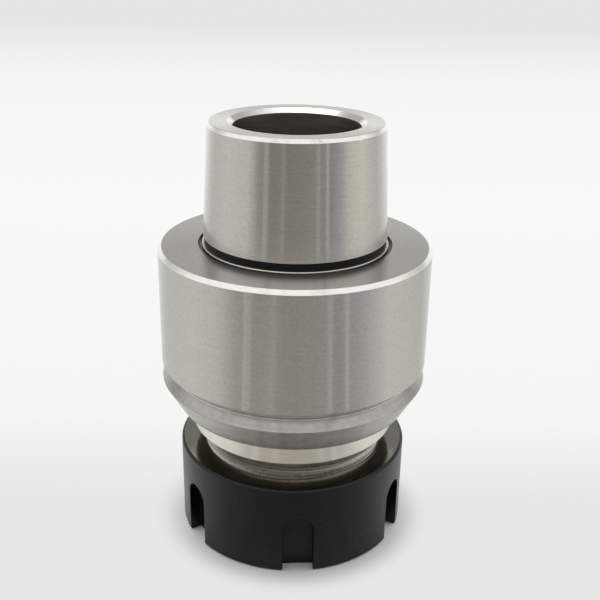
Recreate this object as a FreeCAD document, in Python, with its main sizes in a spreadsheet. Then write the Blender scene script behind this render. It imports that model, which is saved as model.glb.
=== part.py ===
"""Collet chuck holder with a hollow 1:10 taper shank, standing on its clamping nut.

Millimetres and degrees. +Z runs up the spindle axis. The origin is on that axis, in the plane of
the nut's front face, so the holder stands nose down and its shank points up.
"""
import FreeCAD, Part
import math
import os
import Sketcher

SIZES = {
    # Spring collet, a slit sleeve with a seat cone and a short front cone
    "tool_bore_diameter": 20.0,
    "collet_diameter": 41.0,
    "collet_length": 46.0,
    "seat_angle": 8.0,
    "collet_recess": 0.8,
    "collet_edge": 0.6,
    "front_land_step": 1.0,
    "front_land_width": 1.0,
    "front_cone_rise": 2.6,
    "front_angle": 30.0,
    "collet_groove_depth": 1.5,
    "collet_groove_width": 3.8,
    "slit_count": 8,
    "slit_width": 1.2,
    "slit_web": 9.0,
    # Threaded nose with the collet seat
    "seat_travel": 1.9,
    "seat_end_gap": 3.2,
    "nose_wall": 4.5,
    "nose_edge": 0.8,
    "nose_length": 18.9,
    "thread_clearance": 0.2,
    "thread_relief_width": 3.0,
    "thread_relief_depth": 1.1,
    # Neck, cone, gripper groove and collar
    "neck_step": 2.9,
    "neck_edge": 0.3,
    "neck_length": 6.9,
    "shoulder_width": 3.95,
    "cone_rise": 4.15,
    "cone_angle": 30.0,
    "grip_groove_width": 4.9,
    "grip_groove_depth": 2.3,
    "grip_height": 32.1,
    "collar_bevel": 1.0,
    # Face between the collar and the shank
    "face_groove_width": 0.95,
    "face_groove_depth": 0.8,
    "face_land_width": 0.4,
    "face_land_rise": 0.3,
    # Hollow taper shank
    "shank_diameter": 48.2,
    "shank_length": 31.75,
    "shank_taper": 10.0,
    "shank_undercut_depth": 0.3,
    "shank_undercut_height": 2.25,
    "shank_bevel_width": 0.6,
    "shank_bevel_height": 0.9,
    "mouth_bore_diameter": 32.3,
    "mouth_bevel_width": 1.35,
    "mouth_bevel_height": 1.2,
    "mouth_lip_length": 10.0,
    "clamp_step": 2.4,
    "clamp_angle": 30.0,
    "shank_cavity_depth": 26.0,
    # Bore and stop screw between the collet seat and the shank's cavity
    "relief_bore_diameter": 27.0,
    "stop_thread_diameter": 18.0,
    "stop_thread_length": 19.75,
    "stop_thread_bevel": 1.0,
    "stop_screw_clearance": 0.1,
    "stop_screw_length": 14.0,
    "stop_screw_bevel": 1.0,
    "stop_screw_sink": 3.25,
    "stop_screw_bore_diameter": 5.0,
    "stop_socket_width": 10.0,
    "stop_socket_depth": 7.0,
    # Clamping nut
    "nut_wall": 6.5,
    "nut_cover": 13.2,
    "nut_top_bevel": 0.5,
    "nut_bottom_bevel": 0.5,
    "nut_mouth_bevel": 0.3,
    "nut_front_edge": 0.5,
    "nut_shoulder_gap": 0.5,
    "nut_undercut_width": 2.0,
    "nut_undercut_depth": 0.6,
    "slot_count": 6,
    "slot_width": 8.1,
    "slot_height": 17.1,
    "slot_depth": 3.4,
    "slot_turn": 3.5,
    # Thrust ring that presses on the collet and pulls it out again
    "ring_recess": 0.5,
    "ring_step": 1.0,
    "ring_clearance": 0.3,
    "ring_fit": 0.12,
    "ring_edge": 0.4,
    "land_clearance": 0.4,
    "lip_clearance": 0.3,
    "lip_bore_gap": 0.25,
    "lip_eccentricity": 0.75,
    # Thrust bearing between the ring and the nut, filled through a plugged hole
    "ball_diameter": 4.0,
    "ball_gap": 0.2,
    "race_clearance": 0.1,
    "plug_hole_diameter": 4.6,
    "plug_fit": 0.05,
    "plug_sink": 0.6,
    "plug_socket_width": 2.0,
    "plug_socket_depth": 1.8,
}
FULL_TURN = 360
QUARTER_TURN = 90
HEXAGON_HALF_ANGLE = 30
SLOTS_TO_PLUG = 2.5
CUT_OVERSHOOT = 2


class Measure:
    """A number together with the sheet expression that gives it."""

    def __init__(self, text, value):
        self.text = text
        self.value = value

    def join(self, sign, other, value):
        return Measure(f"({self.text} {sign} {asMeasure(other).text})", value)

    def __add__(self, other):
        return self.join("+", other, self.value + asMeasure(other).value)

    def __sub__(self, other):
        return self.join("-", other, self.value - asMeasure(other).value)

    def __mul__(self, other):
        return self.join("*", other, self.value * asMeasure(other).value)

    def __truediv__(self, other):
        return self.join("/", other, self.value / asMeasure(other).value)

    def __neg__(self):
        return self * -1


def asMeasure(number):
    return number if isinstance(number, Measure) else Measure(f"{number}", number)


def size(alias):
    return Measure(f"Sizes.{alias}", SIZES[alias])


def tangent(angle):
    return Measure(f"tan({angle.text})", math.tan(math.radians(angle.value)))


def sine(angle):
    return Measure(f"sin({angle.text})", math.sin(math.radians(angle.value)))


def cosine(angle):
    return Measure(f"cos({angle.text})", math.cos(math.radians(angle.value)))


ZERO = asMeasure(0)

# Collet, from its front face upwards
colletFoot = size("collet_recess")
colletRadius = size("collet_diameter") / 2
colletTop = colletFoot + size("collet_length")
landRadius = colletRadius - size("front_land_step")
frontRadius = landRadius - size("front_cone_rise")
grooveRadius = landRadius - size("collet_groove_depth")
landFoot = colletFoot + size("front_cone_rise") / tangent(size("front_angle"))
landTop = landFoot + size("front_land_width")
seatConeFoot = landTop + size("collet_groove_width")
seatConeTopRadius = colletRadius - (colletTop - seatConeFoot) * tangent(size("seat_angle"))

# Nose: the collet touches its seat once the nut has pushed it up by the seat travel
noseFace = seatConeFoot + size("seat_travel")
seatTop = colletTop + size("seat_end_gap")
seatTopRadius = colletRadius - (seatTop - noseFace) * tangent(size("seat_angle"))
threadRadius = colletRadius + size("nose_wall")
noseRadius = threadRadius - size("thread_clearance")
reliefRadius = noseRadius - size("thread_relief_depth")

# Neck and collar
neckFoot = noseFace + size("nose_length")
threadTop = neckFoot - size("thread_relief_width")
neckTop = neckFoot + size("neck_length")
neckRadius = threadRadius + size("neck_step")
coneFootRadius = neckRadius + size("shoulder_width")
collarRadius = coneFootRadius + size("cone_rise")
gripFoot = neckTop + size("cone_rise") / tangent(size("cone_angle"))
gripTop = gripFoot + size("grip_groove_width")
gripRootRadius = collarRadius - size("grip_groove_depth")
collarFace = gripTop + size("grip_height")

# Shank
shankFoot = collarFace + size("shank_undercut_height")
shankTop = collarFace + size("shank_length")
shankRadius = size("shank_diameter") / 2
bevelFoot = shankTop - size("shank_bevel_height")
shankTopRadius = shankRadius - (bevelFoot - shankFoot) / size("shank_taper") / 2
shankRootRadius = shankRadius - size("shank_undercut_depth")
faceLandRadius = shankRadius + size("face_land_width")
faceGrooveRadius = faceLandRadius + size("face_groove_width")
faceGrooveFloor = collarFace - size("face_groove_depth")
faceLandTop = collarFace + size("face_land_rise")
mouthRadius = size("mouth_bore_diameter") / 2
cavityRadius = mouthRadius + size("clamp_step")
lipFoot = shankTop - size("mouth_lip_length")
cavityTop = lipFoot - size("clamp_step") * tangent(size("clamp_angle"))
cavityFloor = shankTop - size("shank_cavity_depth")
stopRadius = size("stop_thread_diameter") / 2
stopThreadFoot = cavityFloor - size("stop_thread_length")

# Thrust ring, held between the collet's front cone and the nut
ringFoot = size("ring_recess")
ringTop = seatConeFoot - size("lip_clearance")
ringRadius = threadRadius - size("ring_step")
lipUnderside = landTop + size("lip_clearance")
lipRadius = grooveRadius + size("lip_bore_gap") + size("lip_eccentricity")
ballHeight = (ringFoot + ringTop) / 2
ballCircleRadius = ringRadius + size("ring_clearance") / 2
raceRadius = size("ball_diameter") / 2 + size("race_clearance")

# Nut
nutRadius = threadRadius + size("nut_wall")
nutTop = noseFace + size("nut_cover")
shellBoreRadius = ringRadius + size("ring_clearance")
shellShoulder = ringTop + size("nut_shoulder_gap")
shellUndercutRadius = threadRadius + size("nut_undercut_depth")
slotPitch = asMeasure(FULL_TURN) / size("slot_count")
slotArcHeight = size("slot_height") - size("slot_width") / 2
plugTurn = size("slot_turn") + slotPitch * SLOTS_TO_PLUG
plugFoot = ballCircleRadius + raceRadius + size("plug_fit")
plugLength = nutRadius - size("plug_sink") - plugFoot


def fillSheet(doc):
    sheet = doc.addObject("Spreadsheet::Sheet", "Sizes")
    for row, (alias, value) in enumerate(SIZES.items(), start=1):
        sheet.set(f"A{row}", alias)
        sheet.set(f"B{row}", str(value))
        sheet.setAlias(f"B{row}", alias)
    doc.recompute()


def newBody(doc, label):
    body = doc.addObject("PartDesign::Body", label)
    body.Label = label
    return body


def originFeature(body, role):
    return next(feature for feature in body.Origin.OriginFeatures if feature.Role == role)


def newSketch(body, name, role="XZ_Plane", turn=ZERO, out=ZERO):
    """A sketch on an origin plane, turned about the plane's upright and moved out along its normal."""
    sketch = body.newObject("Sketcher::SketchObject", name)
    sketch.AttachmentSupport = [(originFeature(body, role), "")]
    sketch.MapMode = "FlatFace"
    across = out * sine(turn)
    along = out * cosine(turn)
    sketch.AttachmentOffset = FreeCAD.Placement(
        FreeCAD.Vector(across.value, 0, along.value),
        FreeCAD.Rotation(FreeCAD.Vector(0, 1, 0), turn.value),
    )
    if turn is not ZERO:
        sketch.setExpression("AttachmentOffset.Rotation.Angle", turn.text)
    if out is not ZERO:
        sketch.setExpression("AttachmentOffset.Base.x", across.text)
        sketch.setExpression("AttachmentOffset.Base.z", along.text)
    return sketch


def bind(sketch, constraint, measure):
    index = sketch.addConstraint(constraint)
    sketch.setExpression(f"Constraints[{index}]", measure.text)


def pinPoint(sketch, geometry, end, across, up):
    horizontal = Sketcher.Constraint("DistanceX", -1, 1, geometry, end, across.value)
    bind(sketch, horizontal, across)
    vertical = Sketcher.Constraint("DistanceY", -1, 1, geometry, end, up.value)
    bind(sketch, vertical, up)


def drawOutline(sketch, corners):
    """A closed outline of straight lines through corners, each given as (across, up)."""
    points = [FreeCAD.Vector(across.value, up.value, 0) for across, up in corners]
    for number, start in enumerate(points):
        finish = points[(number + 1) % len(points)]
        sketch.addGeometry(Part.LineSegment(start, finish), False)
    for number, (across, up) in enumerate(corners):
        following = (number + 1) % len(corners)
        sketch.addConstraint(Sketcher.Constraint("Coincident", number, 2, following, 1))
        pinPoint(sketch, number, 1, across, up)


def drawCircle(sketch, across, up, radius):
    centre = FreeCAD.Vector(across.value, up.value, 0)
    circle = Part.Circle(centre, FreeCAD.Vector(0, 0, 1), radius.value)
    index = sketch.addGeometry(circle, False)
    pinPoint(sketch, index, 3, across, up)
    bind(sketch, Sketcher.Constraint("Radius", index, radius.value), radius)


def drawArchedSlot(sketch, halfWidth, foot, arcHeight):
    """An upright slot about the sketch's upright axis, open at its foot, with a round top."""
    left = FreeCAD.Vector(-halfWidth.value, arcHeight.value, 0)
    right = FreeCAD.Vector(halfWidth.value, arcHeight.value, 0)
    crown = FreeCAD.Vector(0, arcHeight.value + halfWidth.value, 0)
    footLeft = FreeCAD.Vector(-halfWidth.value, foot.value, 0)
    footRight = FreeCAD.Vector(halfWidth.value, foot.value, 0)
    sketch.addGeometry(Part.LineSegment(left, footLeft), False)
    sketch.addGeometry(Part.LineSegment(footLeft, footRight), False)
    sketch.addGeometry(Part.LineSegment(footRight, right), False)
    sketch.addGeometry(Part.Arc(right, crown, left), False)
    sketch.addConstraint(Sketcher.Constraint("Coincident", 0, 2, 1, 1))
    sketch.addConstraint(Sketcher.Constraint("Coincident", 1, 2, 2, 1))
    sketch.addConstraint(Sketcher.Constraint("Tangent", 2, 2, 3, 1))
    sketch.addConstraint(Sketcher.Constraint("Tangent", 3, 2, 0, 1))
    pinPoint(sketch, 1, 1, -halfWidth, foot)
    pinPoint(sketch, 1, 2, halfWidth, foot)
    pinPoint(sketch, 3, 3, ZERO, arcHeight)


def turnProfile(body, name, corners):
    """The solid that an outline of (radius, height) corners sweeps about the Z axis."""
    sketch = newSketch(body, f"{name}_outline")
    drawOutline(sketch, corners)
    turned = body.newObject("PartDesign::Revolution", name)
    turned.Profile = (sketch, [""])
    turned.ReferenceAxis = (sketch, ["V_Axis"])
    turned.Angle = FULL_TURN
    return turned


def cutGroove(body, name, radius, height, sectionRadius):
    """A round-bottomed groove run about the Z axis."""
    sketch = newSketch(body, f"{name}_section")
    drawCircle(sketch, radius, height, sectionRadius)
    groove = body.newObject("PartDesign::Groove", name)
    groove.Profile = (sketch, [""])
    groove.ReferenceAxis = (sketch, ["V_Axis"])
    groove.Angle = FULL_TURN
    return groove


def cutPocket(body, name, sketch, depth=None, reverse=False, symmetric=False):
    pocket = body.newObject("PartDesign::Pocket", name)
    pocket.Profile = (sketch, [""])
    pocket.Reversed = reverse
    if symmetric:
        pocket.SideType = "Symmetric"
    if depth is None:
        pocket.Type = "ThroughAll"
    else:
        pocket.Length = depth.value
        pocket.setExpression("Length", depth.text)
    return pocket


def repeatAround(body, name, feature, count):
    pattern = body.newObject("PartDesign::PolarPattern", name)
    pattern.Originals = [feature]
    pattern.Axis = (originFeature(body, "Z_Axis"), [""])
    pattern.Angle = FULL_TURN
    pattern.Occurrences = int(count.value)
    pattern.setExpression("Occurrences", count.text)
    body.Tip = pattern
    return pattern


def cutHexagon(body, name, height, width, depth):
    """A hexagon socket sunk from a flat end at the given height, width across its flats."""
    sketch = newSketch(body, f"{name}_outline", "XY_Plane", out=height)
    half = width / 2
    cornerReach = half / cosine(asMeasure(HEXAGON_HALF_ANGLE))
    corners = [
        (cornerReach, ZERO), (cornerReach / 2, half), (-cornerReach / 2, half),
        (-cornerReach, ZERO), (-cornerReach / 2, -half), (cornerReach / 2, -half),
    ]
    drawOutline(sketch, corners)
    return cutPocket(body, name, sketch, depth)


def makeChuckBody(doc):
    """One turned and ground piece: threaded nose, collar with gripper groove, hollow taper shank."""
    body = newBody(doc, "chuck_body")
    reliefBoreRadius = size("relief_bore_diameter") / 2
    nose = [
        (colletRadius, noseFace),
        (noseRadius - size("nose_edge"), noseFace),
        (noseRadius, noseFace + size("nose_edge")),
        (noseRadius, threadTop),
        (reliefRadius, threadTop + size("thread_relief_depth")),
        (reliefRadius, neckFoot),
    ]
    collar = [
        (neckRadius - size("neck_edge"), neckFoot),
        (neckRadius, neckFoot + size("neck_edge")),
        (neckRadius, neckTop),
        (coneFootRadius, neckTop),
        (collarRadius, gripFoot),
        (gripRootRadius, gripFoot + size("grip_groove_depth")),
        (gripRootRadius, gripTop - size("grip_groove_depth")),
        (collarRadius, gripTop),
        (collarRadius, collarFace - size("collar_bevel")),
        (collarRadius - size("collar_bevel"), collarFace),
    ]
    face = [
        (faceGrooveRadius, collarFace),
        (faceGrooveRadius, faceGrooveFloor),
        (faceLandRadius, faceGrooveFloor),
        (faceLandRadius, faceLandTop),
        (shankRootRadius, faceLandTop),
    ]
    shank = [
        (shankRootRadius, shankFoot),
        (shankRadius, shankFoot),
        (shankTopRadius, bevelFoot),
        (shankTopRadius - size("shank_bevel_width"), shankTop),
        (mouthRadius + size("mouth_bevel_width"), shankTop),
        (mouthRadius, shankTop - size("mouth_bevel_height")),
        (mouthRadius, lipFoot),
        (cavityRadius, cavityTop),
        (cavityRadius, cavityFloor),
    ]
    bore = [
        (stopRadius + size("stop_thread_bevel"), cavityFloor),
        (stopRadius, cavityFloor - size("stop_thread_bevel")),
        (stopRadius, stopThreadFoot),
        (reliefBoreRadius, stopThreadFoot),
        (reliefBoreRadius, seatTop),
        (seatTopRadius, seatTop),
    ]
    turnProfile(body, "turned_body", nose + collar + face + shank + bore)
    return body


def makeStopScrew(doc):
    """Grub screw that sets how deep the tool's shank goes, drilled through for coolant."""
    body = newBody(doc, "stop_screw")
    radius = stopRadius - size("stop_screw_clearance")
    bevel = size("stop_screw_bevel")
    boreRadius = size("stop_screw_bore_diameter") / 2
    top = cavityFloor - size("stop_screw_sink")
    foot = top - size("stop_screw_length")
    corners = [
        (boreRadius, foot), (radius - bevel, foot), (radius, foot + bevel),
        (radius, top - bevel), (radius - bevel, top), (boreRadius, top),
    ]
    turnProfile(body, "turned_screw", corners)
    cutHexagon(body, "key_socket", top, size("stop_socket_width"), size("stop_socket_depth"))
    return body


def makeNutShell(doc):
    """The nut's outer shell, with spanner slots, the thread's bore and half of the ball race."""
    body = newBody(doc, "nut_shell")
    mouthBevel = size("nut_mouth_bevel")
    corners = [
        (shellBoreRadius + size("nut_front_edge"), ZERO),
        (nutRadius - size("nut_bottom_bevel"), ZERO),
        (nutRadius, size("nut_bottom_bevel")),
        (nutRadius, nutTop - size("nut_top_bevel")),
        (nutRadius - size("nut_top_bevel"), nutTop),
        (threadRadius + mouthBevel, nutTop),
        (threadRadius, nutTop - mouthBevel),
        (threadRadius, shellShoulder + size("nut_undercut_width") + size("nut_undercut_depth")),
        (shellUndercutRadius, shellShoulder + size("nut_undercut_width")),
        (shellUndercutRadius, shellShoulder),
        (shellBoreRadius, shellShoulder),
        (shellBoreRadius, size("nut_front_edge")),
    ]
    turnProfile(body, "turned_shell", corners)
    cutGroove(body, "outer_race", ballCircleRadius, ballHeight, raceRadius)
    holeSketch = newSketch(body, "fill_hole_outline", turn=plugTurn)
    drawCircle(holeSketch, ZERO, ballHeight, size("plug_hole_diameter") / 2)
    cutPocket(body, "fill_hole", holeSketch, reverse=True)
    slotFloor = nutRadius - size("slot_depth")
    slotSketch = newSketch(body, "slot_outline", turn=size("slot_turn"), out=slotFloor)
    drawArchedSlot(slotSketch, size("slot_width") / 2, asMeasure(-CUT_OVERSHOOT), slotArcHeight)
    slot = cutPocket(body, "spanner_slot", slotSketch, reverse=True)
    repeatAround(body, "spanner_slots", slot, size("slot_count"))
    return body


def makeThrustRing(doc):
    """Ring that turns with the collet: cone against its front, off-centre lip in its groove."""
    body = newBody(doc, "thrust_ring")
    edge = size("ring_edge")
    fit = size("ring_fit")
    footDrop = (colletFoot - ringFoot) * tangent(size("front_angle"))
    boreRadius = landRadius + size("land_clearance")
    corners = [
        (frontRadius - footDrop + fit, ringFoot),
        (ringRadius - edge, ringFoot),
        (ringRadius, ringFoot + edge),
        (ringRadius, ringTop - edge),
        (ringRadius - edge, ringTop),
        (frontRadius, ringTop),
        (frontRadius, lipUnderside),
        (boreRadius, lipUnderside),
        (boreRadius, landFoot),
        (landRadius + fit, landFoot),
    ]
    turnProfile(body, "turned_ring", corners)
    cutGroove(body, "inner_race", ballCircleRadius, ballHeight, raceRadius)
    lipSketch = newSketch(body, "lip_outline", "XY_Plane", out=ringTop)
    drawCircle(lipSketch, size("lip_eccentricity"), ZERO, lipRadius)
    cutPocket(body, "lip_bore", lipSketch, ringTop - lipUnderside)
    return body


def makeBearingBalls(doc):
    """A full row of balls in the race, as many as its circle takes."""
    spacing = SIZES["ball_diameter"] + SIZES["ball_gap"]
    ballCount = math.floor(2 * math.pi * ballCircleRadius.value / spacing)
    balls = []
    for number in range(ballCount):
        angle = asMeasure(FULL_TURN) * number / ballCount
        ball = doc.addObject("Part::Sphere", f"ball_{number + 1}")
        ball.setExpression("Radius", (size("ball_diameter") / 2).text)
        ball.setExpression("Placement.Base.x", (ballCircleRadius * cosine(angle)).text)
        ball.setExpression("Placement.Base.y", (ballCircleRadius * sine(angle)).text)
        ball.setExpression("Placement.Base.z", ballHeight.text)
        balls.append(ball)
    row = doc.addObject("Part::Compound", "bearing_balls")
    row.Label = "bearing_balls"
    row.Links = balls
    return row


def makeBallFillPlug(doc):
    """Short grub screw that closes the hole through which the balls go in."""
    body = newBody(doc, "ball_fill_plug")
    outline = newSketch(body, "plug_outline", "XY_Plane")
    drawCircle(outline, ZERO, ZERO, size("plug_hole_diameter") / 2 - size("plug_fit"))
    shaft = body.newObject("PartDesign::Pad", "plug_shaft")
    shaft.Profile = (outline, [""])
    shaft.setExpression("Length", plugLength.text)
    cutHexagon(body, "key_socket", plugLength, size("plug_socket_width"), size("plug_socket_depth"))
    spot = f"create(<<vector>>; {(plugFoot * sine(plugTurn)).text}; " \
           f"{(-plugFoot * cosine(plugTurn)).text}; {ballHeight.text})"
    turn = f"create(<<rotation>>; {(plugTurn - QUARTER_TURN).text}; {QUARTER_TURN}; 0)"
    body.setExpression("Placement", f"create(<<placement>>; {spot}; {turn})")
    return body


def makeSpringCollet(doc):
    """Slit sleeve that closes on the tool's shank as the nut pushes it into the seat."""
    body = newBody(doc, "spring_collet")
    boreRadius = size("tool_bore_diameter") / 2
    edge = size("collet_edge")
    corners = [
        (boreRadius + edge, colletFoot),
        (frontRadius, colletFoot),
        (landRadius, landFoot),
        (landRadius, landTop),
        (grooveRadius, landTop),
        (grooveRadius, seatConeFoot),
        (colletRadius, seatConeFoot),
        (seatConeTopRadius, colletTop),
        (boreRadius + edge, colletTop),
        (boreRadius, colletTop - edge),
        (boreRadius, colletFoot + edge),
    ]
    turnProfile(body, "turned_collet", corners)
    web = size("slit_web")
    halfPitch = asMeasure(FULL_TURN) / size("slit_count") / 2
    reach = colletRadius + CUT_OVERSHOOT
    slits = [
        ("front_slit", ZERO, ZERO, colletTop - web),
        ("rear_slit", halfPitch, colletFoot + web, colletTop + CUT_OVERSHOOT),
    ]
    for name, turn, foot, top in slits:
        sketch = newSketch(body, f"{name}_outline", turn=turn)
        drawOutline(sketch, [(ZERO, foot), (reach, foot), (reach, top), (ZERO, top)])
        slit = cutPocket(body, name, sketch, size("slit_width"), symmetric=True)
        repeatAround(body, f"{name}s", slit, size("slit_count"))
    return body


def checkObjects(doc):
    for item in doc.Objects:
        if "Invalid" in item.State or "Error" in item.State:
            raise RuntimeError(f"{item.Label} failed: {item.State}")


def checkCuts(body):
    """Each pocket, groove and pattern must leave less material than the feature before it."""
    before = None
    for feature in body.Group:
        if not feature.isDerivedFrom("PartDesign::Feature"):
            continue
        cutting = feature.TypeId.split("::")[1] in ("Pocket", "Groove", "PolarPattern")
        if cutting and feature.Shape.Volume >= before.Shape.Volume:
            raise RuntimeError(f"{feature.Label} of {body.Label} cuts nothing")
        before = feature


def checkSubPart(part):
    shape = part.Shape
    if shape.isNull() or not shape.isValid():
        raise RuntimeError(f"{part.Label} has no valid shape")
    if part.TypeId == "PartDesign::Body" and len(shape.Solids) != 1:
        raise RuntimeError(f"{part.Label} has {len(shape.Solids)} solids")


def main():
    doc = FreeCAD.newDocument("collet_chuck_holder")
    fillSheet(doc)
    makers = [
        makeChuckBody, makeStopScrew, makeNutShell, makeThrustRing,
        makeBearingBalls, makeBallFillPlug, makeSpringCollet,
    ]
    parts = [make(doc) for make in makers]
    doc.recompute()
    checkObjects(doc)
    for part in parts:
        checkSubPart(part)
        if part.TypeId == "PartDesign::Body":
            checkCuts(part)
    os.makedirs("parts", exist_ok=True)
    for part in parts:
        part.Shape.exportStep(f"parts/{part.Label}.step")
        print(part.Label, round(part.Shape.Volume / 1000, 3), "cm3")


main()
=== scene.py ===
import bmesh
import bpy
import math
from mathutils import Matrix, Vector


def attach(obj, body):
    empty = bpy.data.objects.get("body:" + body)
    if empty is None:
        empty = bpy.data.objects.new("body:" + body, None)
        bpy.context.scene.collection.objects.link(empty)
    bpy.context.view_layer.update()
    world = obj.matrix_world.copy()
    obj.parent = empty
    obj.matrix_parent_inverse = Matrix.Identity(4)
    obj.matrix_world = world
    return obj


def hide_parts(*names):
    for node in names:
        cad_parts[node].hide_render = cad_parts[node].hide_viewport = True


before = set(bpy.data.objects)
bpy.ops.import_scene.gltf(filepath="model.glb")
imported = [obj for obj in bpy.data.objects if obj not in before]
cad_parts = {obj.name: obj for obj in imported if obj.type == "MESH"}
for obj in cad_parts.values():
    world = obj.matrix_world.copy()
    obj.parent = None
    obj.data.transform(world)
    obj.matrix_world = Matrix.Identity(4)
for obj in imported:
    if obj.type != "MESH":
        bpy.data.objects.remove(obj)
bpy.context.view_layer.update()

mm = 0.001
turnSteps = 256  # facets round every turned piece
edgeSteps = 3  # facets across a rounded edge
smoothBelow = math.radians(38)
breakAbove = math.radians(32)  # sharper edges than this get a machined break
weldReach = 0.002  # mm, points this close become one
overcut = 1  # mm, how far a key's cutter stands out past the face it cuts
noiseBand = (0.3, 0.7)  # noise seldom leaves this band
smoothStep = {"interpolation_type": "SMOOTHSTEP"}
slopeShare = 0.4  # how far the lathe lines lean, so that no 30 or 45 degree face lies along one
print("frame loaded:", sorted(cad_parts))


# Small helpers

def linearChannel(value):
    return value / 12.92 if value <= 0.04045 else ((value + 0.055) / 1.055) ** 2.4


def colour(hexCode):
    channels = [int(hexCode[at:at + 2], 16) / 255 for at in (0, 2, 4)]
    return (*[linearChannel(channel) for channel in channels], 1.0)


def addNode(tree, kind, settings=None, values=None, links=None):
    node = tree.nodes.new(kind)
    for name, value in (settings or {}).items():
        setattr(node, name, value)
    for socket, value in (values or {}).items():
        node.inputs[socket].default_value = value
    for socket, source in (links or {}).items():
        tree.links.new(source, node.inputs[socket])
    return node


def setStops(rampNode, stops):
    # stops are (place from 0 to 1, hex colour)
    elements = rampNode.color_ramp.elements
    while len(elements) > 1:
        elements.remove(elements[-1])
    elements[0].position = stops[0][0]
    elements[0].color = colour(stops[0][1])
    for place, hexCode in stops[1:]:
        element = elements.new(place)
        element.color = colour(hexCode)


def newMaterial(name):
    material = bpy.data.materials.new(name)
    material.use_nodes = True
    material.node_tree.nodes.clear()
    return material


# Camera, at the height of someone leaning over the bench

camera = {
    "lens": 53.98,
    "sensor": 36.0,
    "place": (0.0, -0.2251, 0.1580),
    "pitchDown": 0.3913,  # this and the next two in radians
    "roll": 0.0174,
    "yaw": 0.0067,
}


def makeCamera():
    data = bpy.data.cameras.new("benchCamera")
    data.lens = camera["lens"]
    data.sensor_width = camera["sensor"]
    data.clip_start = 0.01
    data.clip_end = 20
    pitch, roll, yaw = camera["pitchDown"], camera["roll"], camera["yaw"]
    forward = Vector((math.sin(yaw) * math.cos(pitch), math.cos(yaw) * math.cos(pitch), -math.sin(pitch)))
    level = Vector((math.cos(yaw), -math.sin(yaw), 0))
    upright = level.cross(forward)
    right = math.cos(roll) * level + math.sin(roll) * upright
    up = -math.sin(roll) * level + math.cos(roll) * upright
    turn = Matrix((right, up, -forward)).transposed()
    eye = bpy.data.objects.new("benchCamera", data)
    eye.matrix_world = Matrix.Translation(camera["place"]) @ turn.to_4x4()
    bpy.context.scene.collection.objects.link(eye)
    bpy.context.scene.camera = eye
    bpy.context.scene.view_settings.view_transform = "Standard"


makeCamera()
print("camera placed")


# Studio: a wide pale floor, a pale room and one broad soft lamp over and behind the holder

studio = {
    "floorRadius": 5.0,
    "floorPaint": "E6E7E5",
    "shadowReach": (0.032, 0.041),  # the painted floor gives way to the glow between these radii
    "nearToFar": (0.20, 0.50),  # metres from the axis over which nearGlow turns into farGlow
    # what the floor shows from front to back, by metres along Y
    "seenGlow": [(-0.2, "E4E6E3"), (0.0, "E6E8E5"), (0.05, "F4F6F3"), (0.3, "F9FAF8"), (0.8, "F3F5F2"),
                 (1.4, "E4E6E3")],
    # glow by direction round the holder, in degrees from the front, + towards +X
    "nearGlow": [(-180, "FDFDFB"), (-125, "DCDDDA"), (-85, "E9E9E5"), (-60, "DDDDD9"), (-50, "CBCAC6"),
                 (-42, "BAB8B4"), (-37.5, "B9B7B3"), (-36, "E2E1DD"), (-34.5, "AEABA7"), (-33, "D6D4D0"),
                 (-31.5, "B0ADA9"), (-20, "B2AFAB"), (-15, "BDB9B5"), (-11, "ADA8A3"), (0, "ABA59F"),
                 (16, "ADA9A5"), (24, "B0AEAB"), (27, "C9C7C4"), (30, "AAA9A7"), (38, "AEAEAC"),
                 (40, "DCDBD8"), (42, "B3B4B3"), (50, "BCBCBB"), (62, "D0D0CD"), (76, "E6E6E2"),
                 (100, "E0E0DC"), (122, "D4D5D1"), (180, "FDFDFB")],
    "farGlow": [(-180, "FFFFFD"), (-147, "FFFFFD"), (-122, "DDDDD9"), (-92, "E8E8E4"), (-59, "DFDFDB"),
                (-51, "C0BFBB"), (-45, "A3A19D"), (-39, "A09D99"), (-37.5, "DAD8D4"), (-36, "8E8A86"),
                (-34.5, "D0CDC9"), (-33, "918C87"), (-18, "938D87"), (-15, "B0A5A3"), (-12, "8F8983"),
                (4, "958F88"), (23, "9B9793"), (27, "BDB9B4"), (30, "9C9A97"), (36, "A3A2A0"),
                (38, "E0DFDC"), (40, "98999A"), (50, "A9ABAC"), (57, "BDBDBB"), (66, "DEDCD6"),
                (86, "F2F1E6"), (113, "D6D6D2"), (147, "FFFFFD"), (180, "FFFFFD")],
    "highGlow": [(-180, "B4B4B1"), (-135, "B4B4B1"), (-105, "FFFFFF"), (-38.5, "FFFFFF"), (-37.5, "77736F"),
                 (-36.5, "FFFFFF"), (-35.5, "FFFFFF"), (-34.5, "77736F"), (-33.5, "FFFFFF"),
                 (-16, "FFFFFF"), (-15, "A39F9B"), (-14, "FFFFFF"), (26, "FFFFFF"), (27, "97938F"),
                 (28, "FFFFFF"), (37, "FFFFFF"), (38, "77736F"), (39, "FFFFFF"), (40, "FFFFFF"),
                 (41, "8A8682"), (42, "FFFFFF"), (105, "FFFFFF"), (135, "B4B4B1"), (180, "B4B4B1")],
    # diffuse light by direction: from the sides and behind, hardly any from the front
    "softGlow": [(-180, "E6E6E6"), (-120, "FFFFFF"), (-80, "FFFFFF"), (-55, "606060"), (-30, "303030"),
                 (30, "303030"), (55, "606060"), (80, "FFFFFF"), (120, "FFFFFF"), (180, "E6E6E6")],
    # by the upright part of a direction, 0 level and 1 straight up
    "lowToHigh": (0.22, 0.34),
    "sidesToTop": (0.6, 0.95),
    "highToZenith": (0.95, 0.99),
    "roomLevel": 1.45,
    "seenRoom": "F0F2EF",
    "lampPower": 3.4,
    "lampSize": 0.9,
    "lampPlace": (-0.1, 0.35, 1.1),
}


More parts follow.
